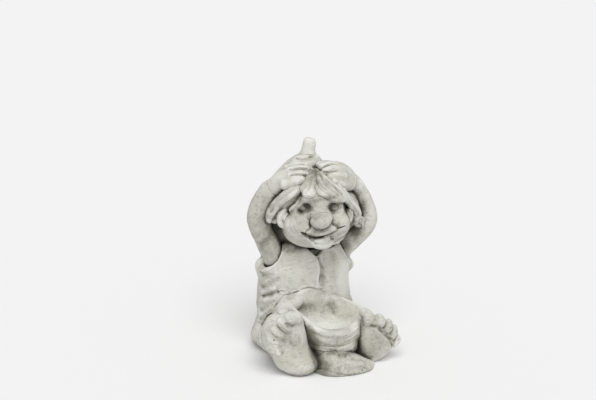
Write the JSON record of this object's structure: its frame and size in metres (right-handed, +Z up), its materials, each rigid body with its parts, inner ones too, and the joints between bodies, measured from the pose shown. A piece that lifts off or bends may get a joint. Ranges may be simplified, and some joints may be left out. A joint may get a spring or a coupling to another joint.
{
  "type": "garden statue",
  "caption": "Seated gnome child cast in stone, hands on its head, with a shallow dish of smock cloth between its bare feet.",
  "frame": {"origin": "on the flat underside of the seat, at ground level, between the hips", "axes": "+Z up, the figure faces -Y, its right hand is on -X"},
  "size_m": [0.206, 0.207, 0.3053],
  "materials": {
    "cast_stone": "matt, fine-grained and lightly weathered"
  },
  "bodies": {
    "root": {"back_hair": "cast_stone", "cap": "cast_stone", "cap_tail": "cast_stone", "forelock": "cast_stone", "head": "cast_stone", "left_ear": "cast_stone", "left_ear_curl": "cast_stone", "left_eye": "cast_stone", "left_foot": "cast_stone", "left_fringe": "cast_stone", "left_hand": "cast_stone", "left_leg": "cast_stone", "left_sleeve": "cast_stone", "left_temple_lock": "cast_stone", "left_trouser_cuff": "cast_stone", "nose": "cast_stone", "right_ear": "cast_stone", "right_eye": "cast_stone", "right_foot": "cast_stone", "right_hand": "cast_stone", "right_leg": "cast_stone", "right_side_lock": "cast_stone", "right_sleeve": "cast_stone", "right_temple_lock": "cast_stone", "seat": "cast_stone", "smock_dish": "cast_stone", "smock_fold": "cast_stone", "torso": "cast_stone", "waistcoat": "cast_stone", "waistcoat_button": "cast_stone"}
  },
  "joints": []
}
